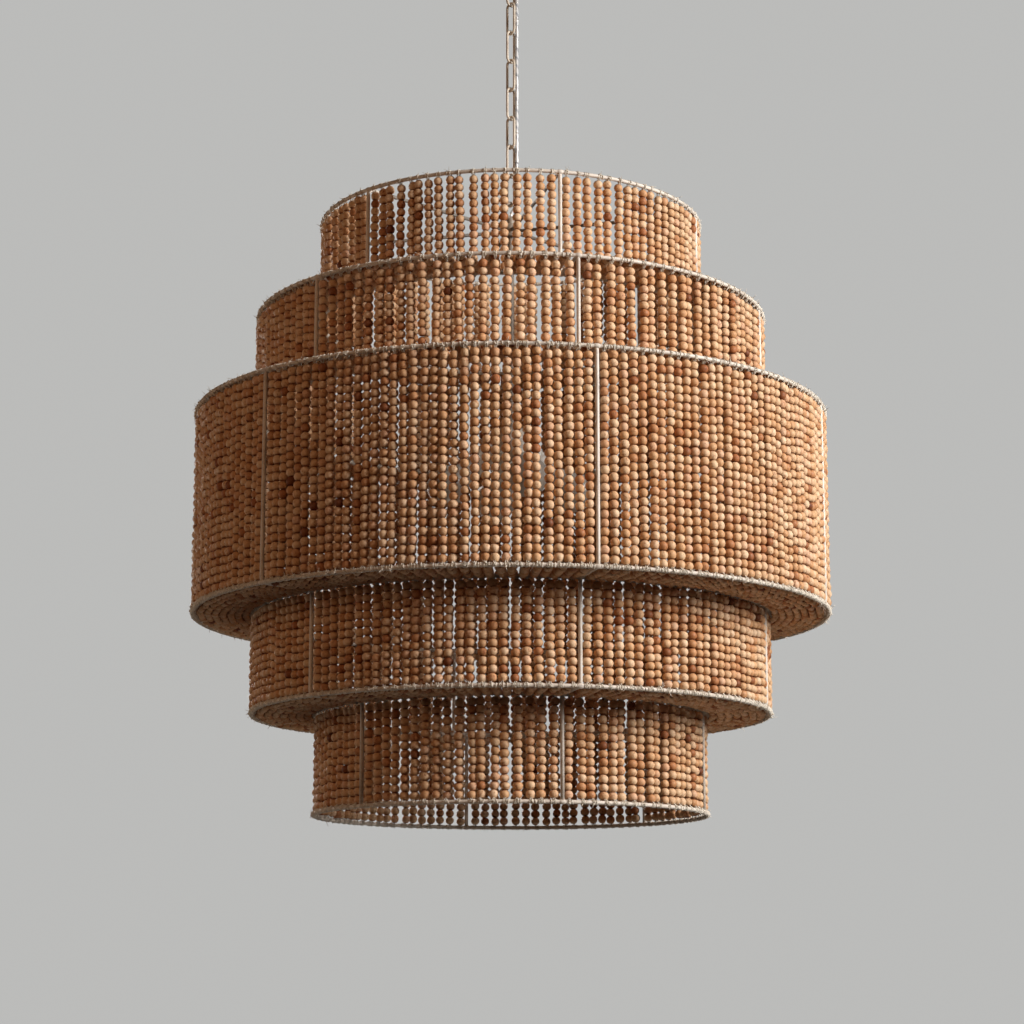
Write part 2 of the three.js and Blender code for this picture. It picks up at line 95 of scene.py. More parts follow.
def pose(origin, xWay, zWay):
    # a matrix that stands its Z along zWay and its X as near as can be to xWay
    z = Vector(zWay).normalized()
    y = z.cross(Vector(xWay)).normalized()
    x = y.cross(z)
    turn = Matrix((x, y, z)).transposed().to_4x4()
    return Matrix.Translation(origin) @ turn


def newVerts(made):
    return [part for part in made["geom"] if isinstance(part, bmesh.types.BMVert)]


def newEdges(made, verts):
    inside = set(verts)
    found = [part for part in made["geom"] if isinstance(part, bmesh.types.BMEdge)]
    return [edge for edge in found if edge.verts[0] in inside and edge.verts[1] in inside]


def sweep(path, radius, sides, closed=False, radii=None):
    # a round section pushed along a path of points
    shape = bmesh.new()
    count = len(path)
    places = []
    side = Vector((1, 0, 0)) if abs((path[1] - path[0]).normalized().x) < 0.9 else Vector((0, 1, 0))
    for index, point in enumerate(path):
        if closed:
            way = path[(index + 1) % count] - path[index - 1]
        else:
            way = path[min(index + 1, count - 1)] - path[max(index - 1, 0)]
        place = pose(point, side, way)
        side = place.to_3x3().col[0].copy()
        share = radii[index] if radii else 1
        places.append(place @ Matrix.Diagonal((share, share, 1, 1)))
    ring = bmesh.ops.create_circle(shape, segments=sides, radius=radius, matrix=places[0])["verts"]
    firstEdges = edges = list(shape.edges)
    for index in range(1, count):
        made = bmesh.ops.extrude_edge_only(shape, edges=edges)
        ring = newVerts(made)
        edges = newEdges(made, ring)
        bmesh.ops.transform(shape, matrix=places[index] @ places[index - 1].inverted(), verts=ring)
    if closed:
        bmesh.ops.bridge_loops(shape, edges=edges + firstEdges)
    else:
        bmesh.ops.contextual_create(shape, geom=firstEdges)
        bmesh.ops.contextual_create(shape, geom=edges)
    bmesh.ops.recalc_face_normals(shape, faces=shape.faces)
    return shape


def turned(profile, steps, centre=(0, 0, 0), closed=False):
    # a profile of (radius, height) points in metres, spun round the vertical axis
    shape = bmesh.new()
    verts = [shape.verts.new((radius, 0, height)) for radius, height in profile]
    edges = [shape.edges.new(pair) for pair in zip(verts, verts[1:])]
    if closed:
        edges.append(shape.edges.new((verts[-1], verts[0])))
    bmesh.ops.spin(shape, geom=verts + edges, axis=upAxis, cent=(0, 0, 0), dvec=(0, 0, 0),
                   angle=2 * math.pi, steps=steps, use_merge=True)
    bmesh.ops.remove_doubles(shape, verts=shape.verts, dist=1e-6)
    bmesh.ops.recalc_face_normals(shape, faces=shape.faces)
    bmesh.ops.translate(shape, verts=shape.verts, vec=centre)
    return shape


# Shader groups shared by several finishes
def newGroup(name, inputs, outputs):
    group = bpy.data.node_groups.new(name, "ShaderNodeTree")
    for label, default in inputs:
        socket = group.interface.new_socket(label, in_out="INPUT", socket_type="NodeSocketFloat")
        socket.default_value = default
    for label in outputs:
        group.interface.new_socket(label, in_out="OUTPUT", socket_type="NodeSocketFloat")
    given, result = group.nodes.new("NodeGroupInput"), group.nodes.new("NodeGroupOutput")
    return group, group.nodes, group.links, given, result


def mathNode(nodes, links, operation, first, second):
    node = nodes.new("ShaderNodeMath")
    node.operation = operation
    for socket, value in zip(node.inputs, (first, second)):
        if isinstance(value, (int, float)):
            socket.default_value = value
        else:
            links.new(value, socket)
    return node.outputs[0]


def buildMottle():
    # soft patches and a fine grain, from the piece's own coordinates
    group, nodes, links, given, result = newGroup(
        "mottle", [("Patch Scale", 20), ("Grain Scale", 600), ("Grain Share", 0.3)], ["Tone", "Height"])
    coords = nodes.new("ShaderNodeTexCoord").outputs["Object"]
    patches = nodes.new("ShaderNodeTexNoise")
    patches.inputs["Detail"].default_value = 4
    grain = nodes.new("ShaderNodeTexNoise")
    grain.inputs["Detail"].default_value = 3
    for noise, scale in ((patches, "Patch Scale"), (grain, "Grain Scale")):
        links.new(coords, noise.inputs["Vector"])
        links.new(given.outputs[scale], noise.inputs["Scale"])
    blend = nodes.new("ShaderNodeMix")
    links.new(given.outputs["Grain Share"], blend.inputs["Factor"])
    links.new(patches.outputs["Fac"], blend.inputs["A"])
    links.new(grain.outputs["Fac"], blend.inputs["B"])
    links.new(blend.outputs["Result"], result.inputs["Tone"])
    links.new(grain.outputs["Fac"], result.inputs["Height"])
    return group


def buildTwist():
    # slanted bands, as the plies of a twisted cord
    group, nodes, links, given, result = newGroup(
        "twist", [("Band Scale", 200), ("Roughen", 1)], ["Tone", "Height"])
    coords = nodes.new("ShaderNodeTexCoord").outputs["Object"]
    bands = nodes.new("ShaderNodeTexWave")
    bands.bands_direction = "DIAGONAL"
    bands.inputs["Detail"].default_value = 2
    links.new(coords, bands.inputs["Vector"])
    links.new(given.outputs["Band Scale"], bands.inputs["Scale"])
    links.new(given.outputs["Roughen"], bands.inputs["Distortion"])
    fibres = nodes.new("ShaderNodeTexNoise")
    fibres.inputs["Scale"].default_value = 1500
    links.new(coords, fibres.inputs["Vector"])
    height = mathNode(nodes, links, "ADD", bands.outputs["Fac"], fibres.outputs["Fac"])
    links.new(bands.outputs["Fac"], result.inputs["Tone"])
    links.new(height, result.inputs["Height"])
    return group


mottle = buildMottle()
twist = buildTwist()


def newMaterial(name, roughness, metallic=0, specular=0.5):
    material = bpy.data.materials.new(name)
    material.use_nodes = True
    shader = material.node_tree.nodes["Principled BSDF"]
    shader.inputs["Roughness"].default_value = roughness
    shader.inputs["Metallic"].default_value = metallic
    shader.inputs["Specular IOR Level"].default_value = specular
    return material, material.node_tree.nodes, material.node_tree.links, shader


def placeGroup(nodes, group, **values):
    node = nodes.new("ShaderNodeGroup")
    node.node_tree = group
    for label, value in values.items():
        node.inputs[label.replace("_", " ")].default_value = value
    return node


def ramp(nodes, links, factor, stops):
    node = nodes.new("ShaderNodeValToRGB")
    links.new(factor, node.inputs["Fac"])
    while len(node.color_ramp.elements) < len(stops):
        node.color_ramp.elements.new(0.5)
    for element, (at, colour) in zip(node.color_ramp.elements, stops):
        element.position = at
        element.color = (*colour, 1) if len(colour) == 3 else colour
    return node.outputs["Color"]


def bump(nodes, links, height, shader, distance, strength):
    node = nodes.new("ShaderNodeBump")
    node.inputs["Distance"].default_value = distance
    node.inputs["Strength"].default_value = strength
    links.new(height, node.inputs["Height"])
    links.new(node.outputs["Normal"], shader.inputs["Normal"])


def mapRange(nodes, links, value, **limits):
    node = nodes.new("ShaderNodeMapRange")
    for label, limit in limits.items():
        node.inputs[label.replace("_", " ")].default_value = limit
    links.new(value, node.inputs["Value"])
    return node.outputs["Result"]


def roughen(nodes, links, value, shader, low, high):
    # the middle of a noise, spread between two roughnesses
    spread = mapRange(nodes, links, value, From_Min=0.3, From_Max=0.7, To_Min=low, To_Max=high)
    links.new(spread, shader.inputs["Roughness"])


def tinted(nodes, links, colour, tint):
    # one colour multiplied by another
    mix = nodes.new("ShaderNodeMix")
    mix.data_type = "RGBA"
    mix.blend_type = "MULTIPLY"
    mix.inputs["Factor"].default_value = 1
    links.new(colour, mix.inputs["A"])
    links.new(tint, mix.inputs["B"])
    return mix.outputs["Result"]


# Cream paint over steel rod: brushed patches, a little grime in the hollows of the grain
def paintFinish(name, light, dark, roughness):
    material, nodes, links, shader = newMaterial(name, roughness)
    surface = placeGroup(nodes, mottle, Patch_Scale=28, Grain_Scale=520, Grain_Share=0.35)
    tone = surface.outputs["Tone"]
    links.new(ramp(nodes, links, tone, [(0.36, dark), (0.52, light)]), shader.inputs["Base Color"])
    roughen(nodes, links, tone, shader, low=roughness + 0.12, high=roughness - 0.06)
    bump(nodes, links, surface.outputs["Height"], shader, distance=0.0004, strength=0.35)
    return material


def paintSpokeShade(material, nearest, farthest, share):
    # painted shade: the spokes inside the top drum are drawn darker than the rest of the frame, for the shade
    # they lie in
    nodes, links = material.node_tree.nodes, material.node_tree.links
    flatten = nodes.new("ShaderNodeVectorMath")
    flatten.operation = "MULTIPLY"
    flatten.inputs[1].default_value = (1, 1, 0)
    links.new(nodes.new("ShaderNodeTexCoord").outputs["Object"], flatten.inputs[0])
    reach = nodes.new("ShaderNodeVectorMath")
    reach.operation = "LENGTH"
    links.new(flatten.outputs["Vector"], reach.inputs[0])
    limits = {"From_Min": nearest, "From_Max": farthest, "To_Min": share, "To_Max": 1}
    level = mapRange(nodes, links, reach.outputs["Value"], **limits)
    target = nodes["Principled BSDF"].inputs["Base Color"]
    links.new(tinted(nodes, links, target.links[0].from_socket, level), target)


cream = {"light": (0.68, 0.61, 0.53), "dark": (0.50, 0.43, 0.36), "roughness": 0.5}
# painted shade: the frame's cream, drawn dark for the hub, its loop and the stem, which hang in shade
shadedCream = {"light": (0.30, 0.25, 0.20), "dark": (0.18, 0.14, 0.11), "roughness": 0.5}
worn = {"light": (0.66, 0.57, 0.46), "dark": (0.36, 0.27, 0.20), "roughness": 0.42}
spokeShade = {"nearest": 0.24, "farthest": 0.272, "share": 0.35}  # metres from the axis, colour left
framePaint = paintFinish("framePaint", **cream)
ribPaint = paintFinish("ribPaint", **cream)
# painted shade on the spokes, fading out towards the top ring
paintSpokeShade(ribPaint, **spokeShade)
# painted shade on the hub, its loop and the stem
hubShadedPaint = paintFinish("hubShadedPaint", **shadedCream)
chainPaint = paintFinish("chainPaint", **worn)

# Bead wood: the colours by a bead's own tone, the streaks of its grain, and painted shade round its hole
# where it meets the next bead
wood = {
    "roughness": 0.5, "specular": 0.24, "grainScale": 170, "grainDetail": 4, "grainDistortion": 1.4,
    "toneShift": 61,  # moves the grain from bead to bead
    "tones": [
        (0.0, (0.17, 0.055, 0.022)), (0.022, (0.40, 0.16, 0.065)), (0.09, (0.56, 0.30, 0.145)),
        (0.25, (0.62, 0.37, 0.195)), (0.42, (0.66, 0.425, 0.25)), (0.58, (0.74, 0.53, 0.35)),
        (0.68, (0.66, 0.43, 0.255)), (0.80, (0.71, 0.50, 0.31)), (0.90, (0.67, 0.42, 0.27)),
        (1.0, (0.60, 0.33, 0.17))],
    "streaks": [
        (0.30, (0.55, 0.38, 0.30)), (0.43, (0.92, 0.88, 0.84)), (0.60, (1, 1, 1)), (0.74, (1.0, 0.93, 0.86))],
    # painted shade at the bead's ends, from its side to its hole
    "holeShade": [(0.35, (1, 1, 1)), (0.95, (0.40, 0.26, 0.19))],
}


def woodFinish():
    # every bead has its own tone and grain, now and then a red or dark streak, and painted shade darkening
    # the rims at its hole
    material, nodes, links, shader = newMaterial("beadWood", wood["roughness"], specular=wood["specular"])
    tone = nodes.new("ShaderNodeAttribute")
    tone.attribute_name = "beadTone"
    hole = nodes.new("ShaderNodeAttribute")
    hole.attribute_name = "beadHole"
    coords = nodes.new("ShaderNodeTexCoord").outputs["Object"]
    grain = nodes.new("ShaderNodeTexNoise")
    grain.noise_dimensions = "4D"
    grain.inputs["Scale"].default_value = wood["grainScale"]
    grain.inputs["Detail"].default_value = wood["grainDetail"]
    grain.inputs["Distortion"].default_value = wood["grainDistortion"]
    links.new(coords, grain.inputs["Vector"])
    links.new(mathNode(nodes, links, "MULTIPLY", tone.outputs["Fac"], wood["toneShift"]), grain.inputs["W"])
    base = ramp(nodes, links, tone.outputs["Fac"], wood["tones"])
    streaked = tinted(nodes, links, base, ramp(nodes, links, grain.outputs["Fac"], wood["streaks"]))
    # painted shade: the rims at each bead's drilled ends are darkened where the beads meet
    shadedAtHoles = tinted(nodes, links, streaked, ramp(nodes, links, hole.outputs["Fac"], wood["holeShade"]))
    links.new(shadedAtHoles, shader.inputs["Base Color"])
    roughen(nodes, links, grain.outputs["Fac"], shader, low=0.62, high=0.42)
    fine = placeGroup(nodes, mottle, Patch_Scale=200, Grain_Scale=900, Grain_Share=0.5)
    bump(nodes, links, fine.outputs["Height"], shader, distance=0.0003, strength=0.3)
    return material


beadWood = woodFinish()


def lacingFinish():
    material, nodes, links, shader = newMaterial("lacingCord", roughness=0.8, specular=0.25)
    plies = placeGroup(nodes, twist, Band_Scale=260, Roughen=2)
    colour = ramp(nodes, links, plies.outputs["Tone"], [(0.1, (0.56, 0.49, 0.40)), (0.7, (0.78, 0.72, 0.62))])
    links.new(colour, shader.inputs["Base Color"])
    bump(nodes, links, plies.outputs["Height"], shader, distance=0.0004, strength=0.6)
    return material


lacingCord = lacingFinish()


def jacketFinish():
    # a clear jacket over bright strands: slanted silvery bands under a gloss coat
    material, nodes, links, shader = newMaterial("clearJacket", roughness=0.24)
    strands = placeGroup(nodes, twist, Band_Scale=38, Roughen=0.6)
    colour = ramp(nodes, links, strands.outputs["Tone"], [
        (0.12, (0.46, 0.48, 0.52)), (0.3, (0.80, 0.81, 0.83)), (0.75, (0.93, 0.93, 0.92))])
    links.new(colour, shader.inputs["Base Color"])
    shader.inputs["Transmission Weight"].default_value = 0.4
    shader.inputs["Coat Weight"].default_value = 0.6
    shader.inputs["Coat Roughness"].default_value = 0.12
    bump(nodes, links, strands.outputs["Height"], shader, distance=0.0003, strength=0.2)
    return material


clearJacket = jacketFinish()


def plainFinish(name, light, dark, roughness, metallic=0, patch=40, coat=0):
    material, nodes, links, shader = newMaterial(name, roughness, metallic)
    surface = placeGroup(nodes, mottle, Patch_Scale=patch, Grain_Scale=700, Grain_Share=0.25)
    tone = surface.outputs["Tone"]
    links.new(ramp(nodes, links, tone, [(0.38, dark), (0.6, light)]), shader.inputs["Base Color"])
    roughen(nodes, links, tone, shader, low=roughness + 0.08, high=roughness - 0.05)
    shader.inputs["Coat Weight"].default_value = coat
    bump(nodes, links, surface.outputs["Height"], shader, distance=0.0002, strength=0.3)
    return material


plain = {
    "zincSteel": {
        "light": (0.56, 0.57, 0.58), "dark": (0.40, 0.41, 0.43), "roughness": 0.36,
        "metallic": 1, "patch": 120},
    "porcelain": {
        "light": (0.83, 0.81, 0.75), "dark": (0.76, 0.73, 0.66), "roughness": 0.3, "patch": 30, "coat": 0.5},
    "frostedGlass": {
        "light": (0.60, 0.57, 0.52), "dark": (0.52, 0.49, 0.44), "roughness": 0.3, "patch": 25, "coat": 0.4},
}
zincSteel, porcelain, frostedGlass = [plainFinish(name, **looks) for name, looks in plain.items()]
print("finishes made")

# The frame's own sizes, in millimetres, as the solids have them
sizes = {
    "tierRadii": [280, 371, 457, 371, 280],
    "tierTops": [-464.1, -611.1, -758.1, -1046.6, -1188.9, -1331.2],
    "wire": 2.75,
    "ribAzimuth": 14.1,
    "bays": 6,
    "bayAngle": 60,
    "hubRadius": 12,
    "links": 8,
    "firstPivot": -61.8,
    "secondPivot": -106.65,
    "pitch": 45.45,
}
# Where the nine swings turn: in the canopy loop, then one link's pitch apart, down to the fixture
pivots = [sizes["firstPivot"]]
pivots += [sizes["secondPivot"] - sizes["pitch"] * link for link in range(sizes["links"])]


def around(radius, degrees, height):
    # a point by its azimuth, counted from the front towards the right
    turn = math.radians(degrees)
    return Vector((radius * math.sin(turn), -radius * math.cos(turn), height)) * mm


# Rings, each a full turn of wire
rings = {"section": 12, "steps": 180}


def makeRings():
    for tier, radius in enumerate(sizes["tierRadii"]):
        for end, height in zip(("top", "bottom"), sizes["tierTops"][tier:tier + 2]):
            profile = []
            for side in range(rings["section"]):
                turn = 2 * math.pi * side / rings["section"]
                reach = sizes["wire"] * mm
                profile.append((radius * mm + reach * math.cos(turn), reach * math.sin(turn)))
            shape = turned(profile, rings["steps"], (0, 0, height * mm), closed=True)
            node = f"tier_{tier + 1}_{end}_ring"
            addPiece(f"ring_{tier + 1}_{end}", shape, framePaint, "fixture", [node])


makeRings()
print("rings made")

# Ribs: one bent rod each, in the plane of the rings, with a weld at every ring
ribs = {
    "start": 1,  # how far inside the hub's side the rod begins
    "section": 10, "bend": 8, "bendSteps": 4, "weld": (6.6, 3.7, 3.7),
}


def ribCorners():
    line = [(sizes["hubRadius"] - ribs["start"], sizes["tierTops"][0])]
    for tier, radius in enumerate(sizes["tierRadii"]):
        line += [(radius, height) for height in sizes["tierTops"][tier:tier + 2]]
    return line


def ribPath(azimuth):
    corners = [around(radius, azimuth, height) for radius, height in ribCorners()]
    path = [corners[0]]
    for before, corner, after in zip(corners, corners[1:], corners[2:]):
        intoWay = (before - corner).normalized()
        outWay = (after - corner).normalized()
        start = corner + intoWay * ribs["bend"] * mm
        end = corner + outWay * ribs["bend"] * mm
        for step in range(ribs["bendSteps"] + 1):
            share = step / ribs["bendSteps"]
            path.append(start.lerp(corner, share).lerp(corner.lerp(end, share), share))
    path.append(corners[-1])
    return path


def makeRibs():
    weld = bmesh.new()
    bmesh.ops.create_icosphere(weld, subdivisions=2, radius=1)
    size = Matrix.Diagonal((*[side * mm for side in ribs["weld"]], 1))
    for number in range(sizes["bays"]):
        azimuth = sizes["ribAzimuth"] + sizes["bayAngle"] * number
        shape = sweep(ribPath(azimuth), sizes["wire"] * mm, ribs["section"])
        turn = Matrix.Rotation(math.radians(azimuth), 4, "Z")
        for radius, height in ribCorners()[1:]:
            stamp(shape, weld, Matrix.Translation(around(radius, azimuth, height)) @ turn @ size)
        addPiece(f"frameRib_{number + 1}", shape, ribPaint, "fixture", [f"rib_{number + 1}"])
    weld.free()


makeRibs()
print("ribs made")

# Bead strands: one piece for each bay of each tier, and of each flat step between two tiers.
# Lengths are in millimetres, lists go from the top tier down, and pairs are the ends of a random range
beads = {
    "width": [13.4, 13.6, 13.4, 13.8, 13.7],
    "depth": [-3.4, -3.4, -3.4, -3.4, -5.2],  # of a strand from the rings' wire, negative inwards
    "perStrand": [12, 12, 24, 12, 12],
    "strandsPerBay": [18, 23, 35, 26, 18],
    "unevenShare": [0.20, 0.14, 0.08, 0.10, 0.14],
    "topSlack": [(0.8, 3.5), (2.5, 7), (0.8, 5), (0.2, 2), (0.4, 3)],
    "bottomSlack": (0.3, 2),
    "gapShare": 0.05,  # of the strands, with a gap somewhere between two beads
    "gap": (1.5, 3.5),
    "ribClearance": 4, "drift": 0.07, "wander": 1.2, "depthSpread": 0.9, "stray": 0.4,
    "seed": 7,
}
eachBead = {
    "segments": 8, "rings": 6, "fullness": 1.12, "flatEnd": 0.49, "holeFrom": 0.28,
    "widthShare": (0.94, 1.04), "roundShare": (0.96, 1.04), "lengthShare": (0.94, 1.06),
    "overlap": 1.03, "tilt": 0.10, "toneSpread": 0.08,
}
flat = {
    "width": 13.0, "perStrand": 7, "strandsPerBay": [23, 29, 29, 23], "unevenShare": 0.13,
    "smallSlack": (1, 3), "largeSlack": (2.5, 5.5), "lean": 1.5, "stray": 0.5,
    "hang": -1.5, "sag": 1.8,  # below the rings' level: the ends lie a little above it
}
lacing = {
    "radius": 0.62, "spread": 1.5, "reach": 3.25, "legs": 9, "legEnd": 0.5, "lean": 0.4,
    "knee": (0.62, 0.6, -4.8),  # shares of the reach and the spread, and the height in millimetres
    "overWire": (-14, 36, 90, 144, 194),  # degrees round the wire
    "topWraps": (0, 1), "bottomWraps": (3, 5), "flatWraps": (0, 1),
    "wrapRadius": 0.713, "wrapSpread": 5.5, "wrapSlant": 0.35, "wrapTurn": 0.2,
    "knotOut": (1.5, 3.6), "knotUp": (-2.6, 2.6), "knotSize": (1.1, 1.9),
    "tails": 3, "tailShare": 0.6, "tailRadius": 0.55, "tailPoint": 0.35, "tailLength": (3, 9),
    "tailOut": (-0.3, 0.8), "tailUp": (-0.8, 1), "tailAside": (-1, 1),
}
degreesPerRadian = 57.3  # close enough to turn a few millimetres along a ring into degrees


def beadShape():
    shape = bmesh.new()
    segments, rows = eachBead["segments"], eachBead["rings"]
    bmesh.ops.create_uvsphere(shape, u_segments=segments, v_segments=rows, radius=0.5)
    for vert in shape.verts:  # a ball whose drilled ends are cut flat
        vert.co.z = max(-eachBead["flatEnd"], min(eachBead["flatEnd"], vert.co.z * eachBead["fullness"]))
    return shape


def knotShape():
    shape = bmesh.new()
    bmesh.ops.create_uvsphere(shape, u_segments=6, v_segments=4, radius=1)
    return shape


def wrapShape():
    # one turn of lacing round the wire
    shape = bmesh.new()
    upright = Matrix.Translation((lacing["reach"] * mm, 0, 0)) @ Matrix.Rotation(math.pi / 2, 4, "X")
    bmesh.ops.create_circle(shape, segments=3, radius=lacing["wrapRadius"] * mm, matrix=upright)
    bmesh.ops.spin(shape, geom=shape.verts[:] + shape.edges[:], axis=upAxis, cent=(0, 0, 0), dvec=(0, 0, 0),
                   angle=2 * math.pi, steps=8, use_merge=True)
    bmesh.ops.recalc_face_normals(shape, faces=shape.faces)
    return shape


def noose():
    # one side of the strand's cord: over the wire, then both legs down and in to the first bead's hole
    reach = lacing["reach"] * mm
    aside = lacing["spread"] * mm
    kneeOut, kneeAside, kneeHeight = lacing["knee"]
    knee = (reach * kneeOut, aside * kneeAside, kneeHeight * mm)
    leg = [(lacing["legEnd"] * mm, 0, -lacing["legs"] * mm), knee]
    path = [Vector(point) for point in leg]
    for degrees in lacing["overWire"]:
        turn = math.radians(degrees)
        path.append(Vector((reach * math.cos(turn), aside, reach * math.sin(turn))))
    path += [Vector((-x, y, z)) for x, y, z in reversed(leg)]
    return sweep(path, lacing["radius"] * mm, 4)


def cordShape():
    shape = bmesh.new()
    bmesh.ops.create_cone(shape, cap_ends=True, segments=4, radius1=1, radius2=1, depth=1)
    return shape


def tailShape():
    shape = bmesh.new()
    bmesh.ops.create_cone(shape, cap_ends=True, segments=3, radius1=1, radius2=lacing["tailPoint"], depth=1)
    bmesh.ops.translate(shape, verts=shape.verts, vec=(0, 0, 0.5))
    return shape


shapes = {
    "bead": beadShape(), "wrap": wrapShape(), "noose": noose(),
    "cord": cordShape(), "tail": tailShape(), "knot": knotShape(),
}


def holeShare(height):
    # 0 on the bead's side, rising to 1 at its drilled ends, where the painted shade goes
    return max(0, (abs(height) - eachBead["holeFrom"]) / (eachBead["flatEnd"] - eachBead["holeFrom"]))


holeShares = [holeShare(vert.co.z) for vert in shapes["bead"].verts]


def strandAzimuths(count, radius, uneven, bay, chance):
    # uneven places along the bay: the strands slide on the wire in twos and threes
    clear = beads["ribClearance"] / (math.radians(sizes["bayAngle"]) * radius)
    shares = [(index + 0.5 + chance.uniform(-uneven, uneven)) / count for index in range(count)]
    shares = [clear + share * (1 - 2 * clear) for share in shares]
    return [sizes["ribAzimuth"] + sizes["bayAngle"] * (bay + share) for share in shares]


def addBead(bay, where, width, length, strandTone, chance):
    # one bead, a little out of shape, tilted and turned, with a tone of its own
    width *= chance.uniform(*eachBead["widthShare"])
    thick = width * chance.uniform(*eachBead["roundShare"])
    size = Matrix.Diagonal((width * mm, thick * mm, length * eachBead["overlap"] * mm, 1))
    tilt = Matrix.Identity(4)
    for way in "XY":
        tilt = tilt @ Matrix.Rotation(chance.gauss(0, eachBead["tilt"]), 4, way)
    spin = Matrix.Rotation(chance.uniform(0, math.pi), 4, "Z")
    stamp(bay["wood"], shapes["bead"], where @ tilt @ spin @ size)
    bay["tones"].append((chance.random() + strandTone) % 1)


def addCord(bay, start, end):
    thin = Matrix.Diagonal((lacing["radius"] * mm, lacing["radius"] * mm, (start - end).length, 1))
    stamp(bay["cords"], shapes["cord"], pose((start + end) / 2, (1, 0, 0), start - end) @ thin)


def layStrand(bay, tier, azimuth, chance):
    # one strand hung from the tier's top ring and tied to its bottom ring
    radius = sizes["tierRadii"][tier]
    ringTop, ringBottom = sizes["tierTops"][tier:tier + 2]
    high = ringTop - sizes["wire"]
    low = ringBottom + sizes["wire"]
    degreesPerMm = degreesPerRadian / radius
    lean = chance.uniform(-beads["wander"], beads["wander"]) * degreesPerMm
    bow = chance.uniform(-1, 1) * beads["wander"] * degreesPerMm
    depth = beads["depth"][tier] + chance.uniform(-beads["depthSpread"], beads["depthSpread"])
    topSlack = chance.uniform(*beads["topSlack"][tier])
    gap = chance.uniform(*beads["gap"]) if chance.random() < beads["gapShare"] else 0
    length = high - low - topSlack - chance.uniform(*beads["bottomSlack"]) - gap
    count = beads["perStrand"][tier]
    gapAt = chance.randrange(1, count) if gap else count
    drift = chance.gauss(0, beads["drift"]) / count
    heights = []
    for index in range(count):
        heights.append(chance.uniform(*eachBead["lengthShare"]) + drift * (index - count / 2))
    pitch = length / sum(heights)
    strandTone = chance.gauss(0, eachBead["toneSpread"])
    level = high - topSlack
    for index, height in enumerate(heights):
        if index == gapAt:
            level -= gap
        middle = level - height * pitch * 0.5
        level -= height * pitch
        share = (high - middle) / (high - low)
        aside = lean * (1 - 2 * share) + bow * math.sin(math.pi * share)
        turn = azimuth + aside + chance.gauss(0, beads["stray"]) * degreesPerMm
        spot = around(radius + depth + chance.gauss(0, beads["stray"]), turn, middle)
        addBead(bay, Matrix.Translation(spot), beads["width"][tier], height * pitch, strandTone, chance)
    addCord(bay, around(radius + depth, azimuth + lean, high), around(radius + depth, azimuth - lean, low))
    inward = around(-depth / mm, azimuth, 0)
    legs = upAxis * lacing["legs"]
    lace(bay, (radius, ringTop), azimuth + lean, -legs - inward, lacing["topWraps"], chance)
    lace(bay, (radius, ringBottom), azimuth - lean, legs - inward, lacing["bottomWraps"], chance)


def layFlatStrand(bay, step, azimuth, chance):
    # one strand laid from a step's smaller ring out to its larger one, sagging a little between them
    small, large = sorted(sizes["tierRadii"][step:step + 2])
    level = sizes["tierTops"][step + 1]
    start = small + sizes["wire"] + chance.uniform(*flat["smallSlack"])
    length = large - sizes["wire"] - chance.uniform(*flat["largeSlack"]) - start
    count = flat["perStrand"]
    lean = chance.uniform(-flat["lean"], flat["lean"]) * degreesPerRadian / large
    outward = around(1 / mm, azimuth, 0)
    strandTone = chance.gauss(0, eachBead["toneSpread"])
    for index in range(count):
        share = (index + 0.5) / count
        hang = flat["hang"] + flat["sag"] * math.sin(math.pi * share) + chance.gauss(0, flat["stray"])
        spot = around(start + length * share, azimuth + lean * (2 * share - 1), level - hang)
        addBead(bay, pose(spot, upAxis, outward), flat["width"], length / count, strandTone, chance)
    cordLevel = level - flat["hang"]
    addCord(bay, around(small, azimuth - lean, cordLevel), around(large, azimuth + lean, cordLevel))
    drop = upAxis * flat["hang"]
    legs = outward * lacing["legs"]
    lace(bay, (small, level), azimuth - lean, legs - drop, lacing["flatWraps"], chance, knotted=False)
    lace(bay, (large, level), azimuth + lean, -legs - drop, lacing["flatWraps"], chance, knotted=False)


def lace(bay, ring, azimuth, strandWay, wraps, chance, knotted=True):
    # the cord's loop over the ring towards its strand, with wraps beside it, a knot and loose tails
    radius, height = ring
    cords = bay["cords"]
    outward = around(1 / mm, azimuth, 0)
    tangent = Vector((-outward.y, outward.x, 0))
    spot = around(radius, azimuth, height)
    lean = chance.uniform(-lacing["lean"], lacing["lean"])
    loop = pose(spot, strandWay.cross(tangent) / lacing["legs"] + tangent * lean, -strandWay)
    stamp(cords, shapes["noose"], loop)
    for _ in range(chance.randint(*wraps)):
        shift = chance.uniform(-lacing["wrapSpread"], lacing["wrapSpread"]) / radius * degreesPerRadian
        slant = upAxis * chance.gauss(0, lacing["wrapSlant"]) + outward * chance.gauss(0, lacing["wrapTurn"])
        stamp(cords, shapes["wrap"], pose(around(radius, azimuth + shift, height), outward, tangent + slant))
    if not knotted:
        return
    stamp(cords, shapes["noose"], loop @ Matrix.Diagonal((-1, -1, 1, 1)))
    knotPlace = spot + outward * chance.uniform(*lacing["knotOut"]) * mm
    knotPlace += upAxis * chance.uniform(*lacing["knotUp"]) * mm
    knotSize = Matrix.Diagonal([chance.uniform(*lacing["knotSize"]) * mm for _ in range(3)] + [1])
    stamp(cords, shapes["knot"], Matrix.Translation(knotPlace) @ knotSize)
    for _ in range(lacing["tails"]):
        if chance.random() < lacing["tailShare"]:
            end = outward * chance.uniform(*lacing["tailOut"]) + upAxis * chance.uniform(*lacing["tailUp"])
            end += tangent * chance.uniform(*lacing["tailAside"])
            width = lacing["tailRadius"] * mm
            size = Matrix.Diagonal((width, width, chance.uniform(*lacing["tailLength"]) * mm, 1))
            stamp(cords, shapes["tail"], pose(knotPlace, tangent, end) @ size)


